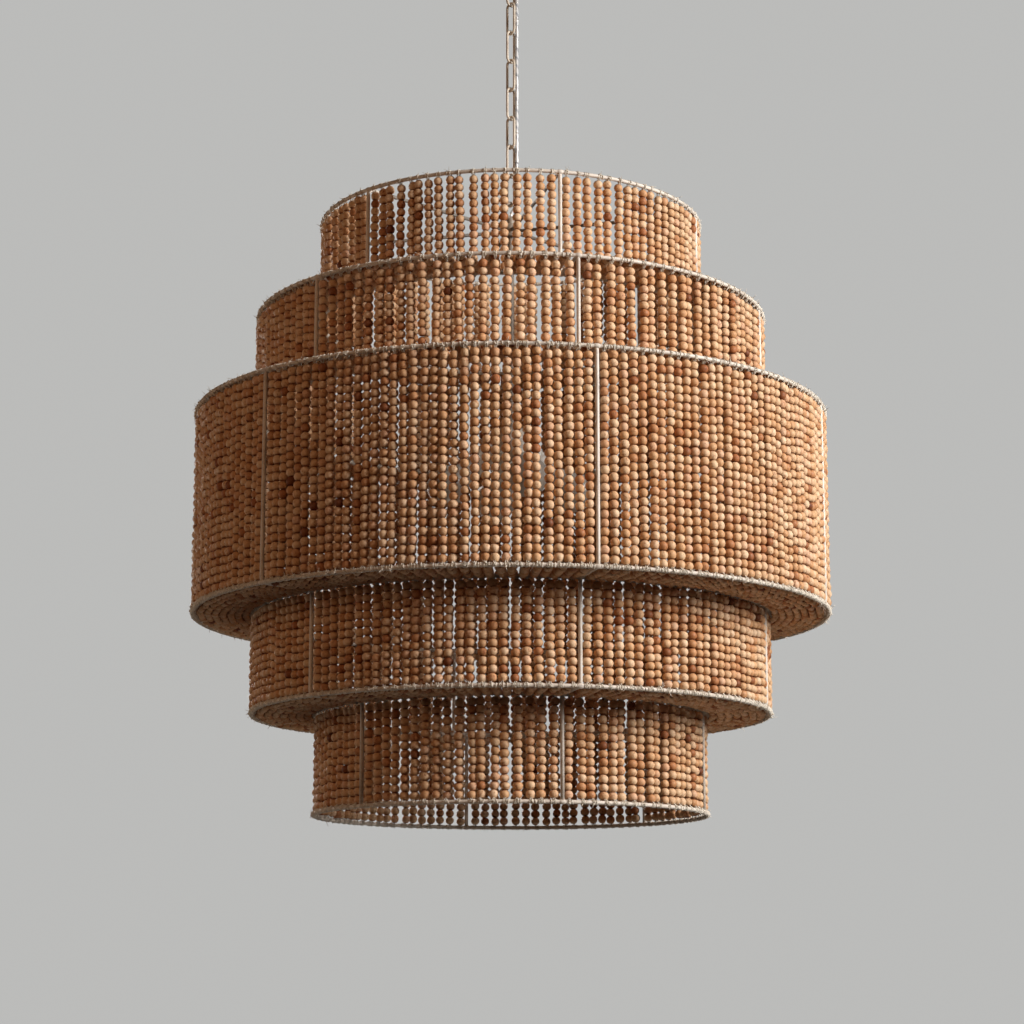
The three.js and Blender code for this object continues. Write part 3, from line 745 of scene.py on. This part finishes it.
def makeBay(kind, part, number, lay, azimuths, chance):
    bay = {"wood": bmesh.new(), "cords": bmesh.new(), "tones": []}
    for azimuth in azimuths:
        lay(bay, part, azimuth, chance)
    name = f"{kind}_{part + 1}_{number + 1}"
    node = f"{kind}_{part + 1}_beads"
    item = addPiece(f"beadStrands_{name}", bay["wood"], beadWood, "fixture", [node])
    tone = item.data.attributes.new("beadTone", "FLOAT", "POINT")
    tone.data.foreach_set("value", [value for value in bay["tones"] for _ in holeShares])
    # the share towards each bead's ends, which carries the painted shade at its holes
    hole = item.data.attributes.new("beadHole", "FLOAT", "POINT")
    hole.data.foreach_set("value", holeShares * len(bay["tones"]))
    addPiece(f"lacing_{name}", bay["cords"], lacingCord, "fixture")


def strandChance(group, part, bay):
    # a fixed seed for each bay, so that every run strings it alike
    return random.Random(beads["seed"] * 1000 * group + part * 10 + bay)


def makeStrands():
    for tier, radius in enumerate(sizes["tierRadii"]):
        count, uneven = beads["strandsPerBay"][tier], beads["unevenShare"][tier]
        for bay in range(sizes["bays"]):
            chance = strandChance(1, tier, bay)
            azimuths = strandAzimuths(count, radius, uneven, bay, chance)
            makeBay("tier", tier, bay, layStrand, azimuths, chance)
        print("strands of tier", tier + 1, "strung")
    for step, count in enumerate(flat["strandsPerBay"]):
        small = min(sizes["tierRadii"][step:step + 2])
        for bay in range(sizes["bays"]):
            chance = strandChance(2, step, bay)
            azimuths = strandAzimuths(count, small, flat["unevenShare"], bay, chance)
            makeBay("step", step, bay, layFlatStrand, azimuths, chance)
        print("strands of step", step + 1, "laid")


makeStrands()
for shape in shapes.values():
    shape.free()

# Chain: oval links of round wire, each turned a quarter to the one above
chain = {
    "wire": 1.9, "innerWidth": 10.9, "innerLength": 45.75, "section": 10, "steps": 24,
    "firstPlane": -45,  # degrees, of the loop that carries the first link
}


def linkShape(arcRadius, wire, straight, section, steps):
    # a ring of wire, its two halves drawn apart to an oval
    shape = bmesh.new()
    start = Matrix.Translation((arcRadius * mm, 0, 0))
    bmesh.ops.create_circle(shape, segments=section, radius=wire * mm, matrix=start)
    bmesh.ops.spin(shape, geom=shape.verts[:] + shape.edges[:], axis=(0, 1, 0), cent=(0, 0, 0),
                   dvec=(0, 0, 0), angle=2 * math.pi, steps=steps, use_merge=True)
    halfStep = Matrix.Rotation(math.pi / steps, 3, "Y")
    bmesh.ops.rotate(shape, verts=shape.verts, cent=(0, 0, 0), matrix=halfStep)
    for half in (1, -1):
        verts = [vert for vert in shape.verts if vert.co.z * half > 0]
        bmesh.ops.translate(shape, verts=verts, vec=(0, 0, half * straight * mm))
    bmesh.ops.recalc_face_normals(shape, faces=shape.faces)
    return shape


def planeTurn(link):
    return Matrix.Rotation(math.radians(chain["firstPlane"] + 90 * link), 4, "Z")


def makeChain():
    arcRadius = chain["innerWidth"] / 2 + chain["wire"]
    half = chain["innerLength"] / 2 + chain["wire"]
    for number in range(1, sizes["links"] + 1):
        shape = linkShape(arcRadius, chain["wire"], half - arcRadius, chain["section"], chain["steps"])
        middle = Matrix.Translation((0, 0, (pivots[number] + half) * mm))
        bmesh.ops.transform(shape, matrix=middle @ planeTurn(number), verts=shape.verts)
        node = f"chain_link_{number}"
        addPiece(f"link_{number}", shape, chainPaint, f"link_{number}", [node])


makeChain()
print("chain made")

# Lamp cord: one cord in nine pieces, each reaching across the joint between two links
cord = {
    "radius": 2.6, "x": 9.2, "sway": 2.5, "section": 12, "step": 2.0, "leastSteps": 8,
    "top": -12.1, "neckTop": -441.6, "bottom": -767.1,
    "leanInRise": 6,  # above the last pivot, where the cord starts to lean in to the neck
    "bendReach": 12,  # above and below a joint
}


def smoothShare(value):
    value = max(0, min(1, value))
    return value * value * (3 - 2 * value)


def cordPoint(height):
    # beside the chain, swaying to and fro from link to link, then in to the axis at the neck
    link = next((index for index, pivot in enumerate(pivots) if height > pivot), -1)
    along = (pivots[link - 1] - height) / (pivots[link - 1] - pivots[link]) if link > 0 else 0
    side = -1 if link % 2 == 0 else 1
    leanTop = pivots[-1] + cord["leanInRise"]
    lean = smoothShare((leanTop - height) / (leanTop - cord["neckTop"]))
    return Vector((cord["x"] * (1 - lean), side * cord["sway"] * math.sin(math.pi * along), height)) * mm


def makeCord():
    middles = [(high + low) / 2 for high, low in zip(pivots, pivots[1:])]
    cuts = [cord["top"]] + middles + [cord["bottom"]]
    numbers = range(1, sizes["links"] + 1)
    nodes = ["canopy_cord"] + [f"link_cord_{number}" for number in numbers] + ["fixture_cord"]
    for index, (high, low) in enumerate(zip(cuts, cuts[1:])):
        steps = max(cord["leastSteps"], round((high - low) / cord["step"]))
        path = [cordPoint(high + (low - high) * step / steps) for step in range(steps + 1)]
        shape = sweep(path, cord["radius"] * mm, cord["section"])
        item = addPiece(f"lampCord_{index + 1}", shape, clearJacket)
        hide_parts(nodes[index], nodes[index + 1])
        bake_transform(item)


makeCord()
print("lamp cord made")

# Loops at the two ends of the chain, and the hub; profiles are pairs of radius and height
loops = {
    "radius": 12.5, "wire": 2.5, "section": 12, "steps": 40, "canopyLevel": -49.3, "fixtureLevel": -432.6,
    "boss": [(0, -35.8), (14.3, -35.8), (15.5, -34.6), (15.5, -21), (0, -21)],
    "neck": [
        (3.3, -441.8), (5.2, -441.8), (6, -442.8), (6, -453.8), (4.6, -453.8), (4.6, -460.8), (3.3, -460.8)],
}
hub = {
    "profile": [
        (4.9, -454.1), (10, -454.1), (11.4, -454.7), (12, -456.1), (12, -472.1), (11.4, -473.5),
        (10, -474.1), (5.3, -474.1), (5.3, -466.8), (4.9, -466.8)],
}


def loopShape(level, turn):
    shape = linkShape(loops["radius"], loops["wire"], 0, loops["section"], loops["steps"])
    bmesh.ops.transform(shape, matrix=Matrix.Translation((0, 0, level * mm)) @ turn, verts=shape.verts)
    return shape


def addTurned(target, profile, steps=48, centre=(0, 0, 0), closed=False):
    part = turned([(radius * mm, height * mm) for radius, height in profile], steps, centre, closed)
    stamp(target, part, Matrix.Identity(4))
    part.free()


def makeLoops():
    shape = loopShape(loops["canopyLevel"], planeTurn(0))
    addTurned(shape, loops["boss"])
    addPiece("canopyLoop", shape, chainPaint, "ceiling_mount", ["canopy_loop"], crisp=40)

    shape = loopShape(loops["fixtureLevel"], planeTurn(sizes["links"] + 1))
    addTurned(shape, loops["neck"], closed=True)
    addPiece("fixtureLoop", shape, hubShadedPaint, "fixture", ["fixture_loop"], crisp=40)

    shape = bmesh.new()
    addTurned(shape, hub["profile"], closed=True)
    addPiece("topHub", shape, hubShadedPaint, "fixture", ["top_hub"], crisp=50)


# Ceiling canopy, and the collar screwed up against it
canopy = {
    "radius": 64, "depth": 26, "flat": 34, "wall": 1.2, "lip": 4, "hole": 15.8, "curveSteps": 12, "steps": 96,
}
collar = {
    "top": -26.3, "bottom": -32.8, "radius": 20.3, "chamfer": 2, "edge": 0.6,
    "grooves": 36, "gripDepth": 0.3, "setBack": 0.97,
}


def canopyProfile():
    # a flat that curves down to the rim, the inturned lip, and back inside the wall
    depth, wall, rim = canopy["depth"], canopy["wall"], canopy["radius"]
    points = [(canopy["flat"], -depth), ((canopy["flat"] + rim) / 2, -depth), (rim, -depth / 2), (rim, -wall)]
    curve = []
    for step in range(canopy["curveSteps"] + 1):
        t = step / canopy["curveSteps"]
        shares = [(1 - t) ** 3, 3 * t * (1 - t) ** 2, 3 * t * t * (1 - t), t ** 3]
        curve.append(tuple(sum(share * point[way] for share, point in zip(shares, points)) for way in (0, 1)))
    lip = [(rim, 0), (rim - canopy["lip"], 0), (rim - canopy["lip"], -wall)]
    inside = [(radius - wall, min(height + wall, -wall)) for radius, height in reversed(curve)]
    return [(canopy["hole"], -depth)] + curve + lip + inside + [(canopy["hole"], -depth + wall)]


def collarProfile():
    top, bottom, outer = collar["top"], collar["bottom"], collar["radius"]
    chamfer, edge = collar["chamfer"], collar["edge"]
    return [(canopy["hole"], bottom), (outer - chamfer, bottom), (outer, bottom + chamfer),
            (outer, top - edge), (outer - edge, top), (canopy["hole"], top)]


def makeCanopy():
    shape = bmesh.new()
    addTurned(shape, canopyProfile(), canopy["steps"], closed=True)
    node = "ceiling_canopy"
    addPiece("ceilingCanopy", shape, framePaint, "ceiling_mount", [node], crisp=40)

    shape = bmesh.new()
    rows = collar["grooves"] * 2
    addTurned(shape, collarProfile(), rows, closed=True)
    grip = [vert for vert in shape.verts if vert.co.xy.length > (collar["radius"] - collar["gripDepth"]) * mm]
    for vert in grip:  # every second row of the grip is set back a little
        if round(math.degrees(math.atan2(vert.co.y, vert.co.x)) * rows / 360) % 2:
            vert.co.xy *= collar["setBack"]
    addPiece("canopyCollar", shape, framePaint, "collar", ["canopy_collar"], crisp=30)


makeLoops()
makeCanopy()

# Inside the canopy: the threaded stud, the cord's bushing and the terminal block
stud = {"radius": 3.5, "top": -2.8, "bottom": -31, "thread": 0.8, "threadDepth": 0.35, "steps": 20}
bushing = {
    "profile": [
        (2.9, -35.8), (3.7, -35.8), (3.7, -20.7), (5.2, -20.7), (5.2, -19.9), (4.8, -19.5), (2.9, -19.5)],
    "steps": 24,
}
block = {
    "size": (18, 16, 9), "place": (15.6, 0, -7.3), "edge": 1.2, "edgeSegments": 3,
    "screw": [(0, -12.1), (2.2, -12.1), (2.2, -11.4), (0, -11.4)], "screwSteps": 16,
    "screwPlaces": ((11, -4), (11, 4), (20, -4), (20, 4)),
}


def studProfile():
    core = stud["radius"] - stud["threadDepth"]
    level = stud["bottom"]
    profile = [(0, level)]
    while level < stud["top"] - stud["thread"]:
        profile += [(core, level), (stud["radius"], level + stud["thread"] / 2)]
        level += stud["thread"]
    return profile + [(core, stud["top"]), (0, stud["top"])]


def makeInside():
    shape = bmesh.new()
    addTurned(shape, studProfile(), stud["steps"])
    addPiece("hangerStud", shape, zincSteel, "ceiling_mount", ["canopy_loop"])

    shape = bmesh.new()
    addTurned(shape, bushing["profile"], bushing["steps"], (cord["x"] * mm, 0, 0), closed=True)
    addPiece("cordBushing", shape, porcelain, "ceiling_mount", ["canopy_loop"], crisp=40)

    shape = bmesh.new()
    size = Matrix.Diagonal((*[side * mm for side in block["size"]], 1))
    middle = Matrix.Translation([value * mm for value in block["place"]])
    bmesh.ops.create_cube(shape, size=1, matrix=middle @ size)
    bmesh.ops.bevel(shape, geom=shape.edges[:], offset=block["edge"] * mm, offset_type="OFFSET",
                    segments=block["edgeSegments"], profile=0.5, affect="EDGES", material=-1)
    for x, y in block["screwPlaces"]:
        addTurned(shape, block["screw"], block["screwSteps"], (x * mm, y * mm, 0))
    addPiece("terminalBlock", shape, porcelain, "ceiling_mount", ["terminal_block"], crisp=40)


makeInside()
print("ceiling fitting made")

# Light cluster: stem, drum and finial on the axis; profiles are pairs of radius and height
cluster = {
    "middle": -782.1,
    "stem": [(3.3, -774.1), (5, -774.1), (5, -467.1), (3.3, -467.1)],
    "stemSteps": 32,
    "drum": [
        (0, -797.1), (18, -797.1), (20.1, -796.2), (21, -794.1), (21, -770.1), (20.1, -768), (18, -767.1),
        (0, -767.1)],
    "drumSteps": 64,
    "finial": [(0, -811.4), (3, -811.2), (5.4, -809.6), (8, -804.8), (8, -798.2), (7.2, -797.4), (0, -797.4)],
    "finialSteps": 32,
}
# Four arms out of the drum's middle, each with a nipple, a lamp holder and a frosted bulb
arms = {
    "count": 4, "tilt": 52,
    "nipple": [(0, -32), (5.5, -32), (5.5, -18), (7.5, -18), (7.5, -15), (0, -15)],
    "nippleSteps": 24,
    "holder": [
        (13.5, -34.9), (13.5, -70.3), (14, -70.6), (15.6, -70), (16, -69.3), (17, -51.3), (17, -49.3),
        (16.4, -48.3), (17, -47.3), (17, -35.3), (14.4, -32.3), (3, -32.3), (3, -34.9)],
    "holderSteps": 40,
}
bulb = {
    "radius": 30, "middle": -120.3, "globeTurn": 125, "globeSteps": 16,
    "neck": [
        (20.5, -96.3), (16.6, -88.3), (13.8, -72.3), (13.1, -66.3), (13.1, -48.7), (6.5, -44.3), (0, -44.3)],
    "steps": 40,
}


def onArm(profile, arm, steps):
    # a profile whose heights are distances along an arm, negative outwards, tipped down and out
    part = turned([(radius * mm, height * mm) for radius, height in profile], steps)
    middle = Matrix.Translation((0, 0, cluster["middle"] * mm))
    turn = Matrix.Rotation(math.radians(sizes["ribAzimuth"] + 360 / arms["count"] * arm), 4, "Z")
    tilt = Matrix.Rotation(math.radians(-arms["tilt"]), 4, "Y")
    bmesh.ops.transform(part, matrix=middle @ turn @ tilt, verts=part.verts)
    return part


def bulbProfile():
    globe = []
    for step in range(bulb["globeSteps"]):
        turn = math.radians(bulb["globeTurn"]) * step / bulb["globeSteps"]
        globe.append((bulb["radius"] * math.sin(turn), bulb["middle"] - bulb["radius"] * math.cos(turn)))
    return globe + bulb["neck"]


def makeCluster():
    shape = bmesh.new()
    addTurned(shape, cluster["stem"], cluster["stemSteps"], closed=True)
    addPiece("stemTube", shape, hubShadedPaint, "fixture", ["stem"], crisp=40)

    shape = bmesh.new()
    addTurned(shape, cluster["drum"], cluster["drumSteps"])
    for arm in range(arms["count"]):
        nipple = onArm(arms["nipple"], arm, arms["nippleSteps"])
        stamp(shape, nipple, Matrix.Identity(4))
        nipple.free()
    addPiece("lampCluster", shape, framePaint, "fixture", ["socket_cluster"], crisp=40)

    shape = bmesh.new()
    addTurned(shape, cluster["finial"], cluster["finialSteps"])
    addPiece("bottomFinial", shape, framePaint, "fixture", ["socket_cluster"], crisp=50)


def makeLamps():
    for arm in range(arms["count"]):
        number = arm + 1
        shape = onArm(arms["holder"], arm, arms["holderSteps"])
        node = f"lamp_socket_{number}"
        addPiece(f"lampHolder_{number}", shape, porcelain, "fixture", [node], crisp=40)
        shape = onArm(bulbProfile(), arm, bulb["steps"])
        addPiece(f"frostedBulb_{number}", shape, frostedGlass, "fixture", [f"bulb_{number}"])


makeCluster()
makeLamps()
print("lamps made")

# The ceiling bar keeps its own solid and gets its finish
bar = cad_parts["ceiling_bar"]
bar.data.materials.clear()
bar.data.materials.append(zincSteel)

# Stage: a pale floor far below, a plain pale world, and soft lamps
stage = {
    "floor": -5.5, "size": 160, "floorColour": (0.62, 0.62, 0.61), "floorGlow": (0.47, 0.47, 0.46),
    "sky": (0.50, 0.50, 0.49), "skyLight": 0.012, "skySheen": 0.14,  # how much of it lights and shines
    "lightAim": (0, 0, -0.9), "lightSpread": 80,
}
lights = {
    "key": {"place": (3.0, -1.55, 0.12), "size": 2.1, "power": 46, "colour": (1.0, 0.97, 0.94)},
    "rim": {"place": (-3.1, 0.8, -1.2), "size": 1.6, "power": 2.7, "colour": (1.0, 0.84, 0.68)},
    "fill": {"place": (-1.7, -3.1, -0.2), "size": 2.0, "power": 4.3, "colour": (1.0, 0.56, 0.31)},
    "back": {"place": (-1.3, 3.3, -0.1), "size": 2.4, "power": 15, "colour": (1.0, 0.92, 0.85)},
    "under": {"place": (0.9, 0.8, -4.6), "size": 2.4, "power": 5, "colour": (1.0, 0.86, 0.74)},
}


def makeStage():
    shape = bmesh.new()
    bmesh.ops.create_grid(shape, x_segments=1, y_segments=1, size=stage["size"] / 2,
                          matrix=Matrix.Translation((0, 0, stage["floor"])))
    mesh = bpy.data.meshes.new("paleFloor")
    shape.to_mesh(mesh)
    shape.free()
    material, nodes, links, shader = newMaterial("paleFloor", 0.9)
    shader.inputs["Base Color"].default_value = (*stage["floorColour"], 1)
    shader.inputs["Emission Color"].default_value = (*stage["floorGlow"], 1)
    links.new(nodes.new("ShaderNodeLightPath").outputs["Is Camera Ray"], shader.inputs["Emission Strength"])
    mesh.materials.append(material)
    floor = bpy.data.objects.new("paleFloor", mesh)
    bpy.context.scene.collection.objects.link(floor)


def makeWorld():
    # plain and pale where the camera looks at it, hardly a light for the rest
    world = bpy.data.worlds.new("paleRoom")
    world.use_nodes = True
    nodes, links = world.node_tree.nodes, world.node_tree.links
    background = nodes["Background"]
    background.inputs["Color"].default_value = (*stage["sky"], 1)
    path = nodes.new("ShaderNodeLightPath")
    sheen = mathNode(nodes, links, "MULTIPLY", path.outputs["Is Glossy Ray"], stage["skySheen"])
    seen = mathNode(nodes, links, "MAXIMUM", path.outputs["Is Camera Ray"], sheen)
    seen = mathNode(nodes, links, "MAXIMUM", seen, path.outputs["Is Transmission Ray"])
    strength = mapRange(nodes, links, seen, To_Min=stage["skyLight"], To_Max=1)
    links.new(strength, background.inputs["Strength"])
    bpy.context.scene.world = world


def makeLights():
    for name, settings in lights.items():
        data = bpy.data.lights.new(name, "AREA")
        data.shape = "DISK"
        data.size = settings["size"]
        data.energy = settings["power"]
        data.color = settings["colour"]
        data.spread = math.radians(stage["lightSpread"])
        lamp = bpy.data.objects.new(name, data)
        lamp.location = settings["place"]
        aim = Vector(stage["lightAim"]) - lamp.location
        lamp.rotation_euler = aim.to_track_quat("-Z", "Y").to_euler()
        bpy.context.scene.collection.objects.link(lamp)


makeStage()
makeWorld()
makeLights()
bpy.context.scene.view_settings.view_transform = "Standard"
print("stage and lights set")
